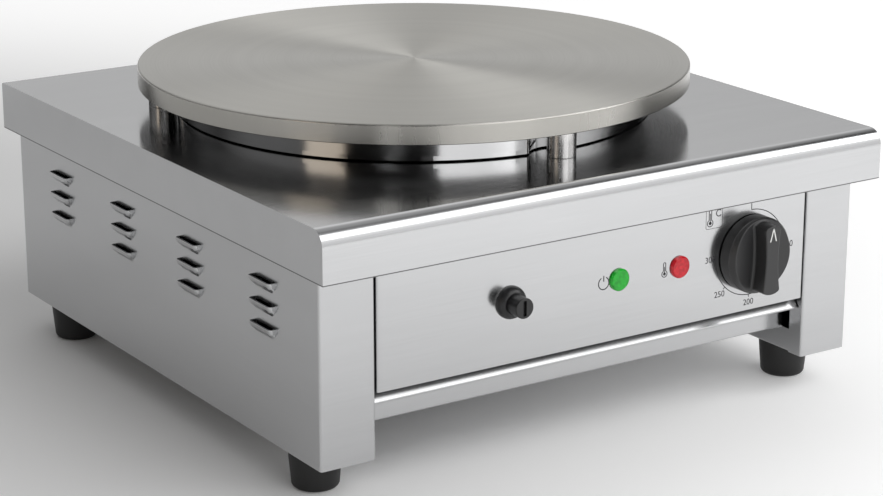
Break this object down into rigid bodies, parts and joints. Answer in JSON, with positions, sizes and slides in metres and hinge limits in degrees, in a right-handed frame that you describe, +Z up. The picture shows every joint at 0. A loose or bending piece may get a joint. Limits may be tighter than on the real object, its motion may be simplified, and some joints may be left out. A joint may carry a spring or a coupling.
{
  "type": "electric crepe maker",
  "caption": "Countertop electric crepe maker: round iron hotplate on posts above a square folded steel housing with knob, pilot lamps, fuse holder and slide-out tray.",
  "frame": {"origin": "middle of the bounding box, on the table top", "axes": "+Y from the control panel to the rear, +X to the right seen from the front, +Z up"},
  "size_m": [0.4542, 0.4894, 0.2242],
  "materials": {
    "stainless_steel": "fine satin brushing",
    "galvanised_sheet": "galvanised",
    "hotplate_iron": "turned, dull sheen",
    "polished_steel": "polished",
    "turned_steel": "turned",
    "zinc_steel": "zinc plated",
    "element_sheath": "oxidised",
    "mineral_fibre": "fibrous",
    "copper_tube": "drawn tube",
    "black_knob_plastic": "semi-gloss",
    "black_plastic": "satin",
    "lamp_housing": "satin",
    "green_lens": "gloss",
    "red_lens": "gloss",
    "clear_glass": "clear",
    "rubber": "matt",
    "foot_plastic": "satin",
    "terminal_plastic": "satin"
  },
  "bodies": {
    "housing": {"bulb_saddle": "galvanised_sheet", "cable_gland": "black_plastic", "capillary_tube": "copper_tube", "clamp_nuts": "zinc_steel", "clamp_studs": "zinc_steel", "control_panel": "stainless_steel", "cover_screws": "zinc_steel", "deck": "stainless_steel", "element_clamps": "galvanised_sheet", "element_cover": "polished_steel", "foot_nuts": "zinc_steel", "foot_screws": "zinc_steel", "front_left_foot": "foot_plastic", "front_post": "turned_steel", "front_right_foot": "foot_plastic", "fuse_holder": "black_plastic", "fuse_holder_nut": "black_plastic", "gland_dome_nut": "black_plastic", "gland_locknut": "black_plastic", "gland_seal": "rubber", "green_lamp_body": "lamp_housing", "green_lamp_lens": "green_lens", "heat_shield": "galvanised_sheet", "hotplate": "hotplate_iron", "inner_heating_element": "element_sheath", "insulation": "mineral_fibre", "left_post": "turned_steel", "left_side_panel": "stainless_steel", "neon_bulbs": "clear_glass", "outer_heating_element": "element_sheath", "post_bolts": "zinc_steel", "post_washers": "zinc_steel", "rear_left_foot": "foot_plastic", "rear_panel": "stainless_steel", "rear_panel_screws": "zinc_steel", "rear_right_foot": "foot_plastic", "red_lamp_body": "lamp_housing", "red_lamp_lens": "red_lens", "right_post": "turned_steel", "right_side_panel": "stainless_steel", "saddle_screws": "zinc_steel", "terminal_block": "terminal_plastic", "terminal_screws": "zinc_steel", "thermostat": "black_plastic", "thermostat_bulb": "copper_tube", "thermostat_screws": "zinc_steel"},
    "knob": {"temperature_knob": "black_knob_plastic", "thermostat_shaft": "turned_steel"},
    "tray": {"crumb_tray": "stainless_steel"},
    "fuse_carrier": {"fuse_link": "clear_glass"},
    "fuse_holder_cap": {"fuse_cap": "black_plastic"}
  },
  "joints": [
    {"name": "knob_turn", "type": "hinge", "parent": "housing", "child": "knob", "pos_m": [0.1275, -0.2207, 0.114], "axis": [0, 1, 0], "range_deg": [0, 270]},
    {"name": "tray_slide", "type": "slide", "parent": "housing", "child": "tray", "axis": [0, -1, 0], "range_m": [0, 0.3]},
    {"name": "fuse_slide", "type": "slide", "parent": "housing", "child": "fuse_carrier", "axis": [0, -1, 0], "range_m": [0, 0.05]},
    {"name": "fuse_cap_turn", "type": "hinge", "parent": "fuse_carrier", "child": "fuse_holder_cap", "pos_m": [-0.0745, -0.2207, 0.114], "axis": [0, -1, 0], "range_deg": [0, 90]}
  ]
}
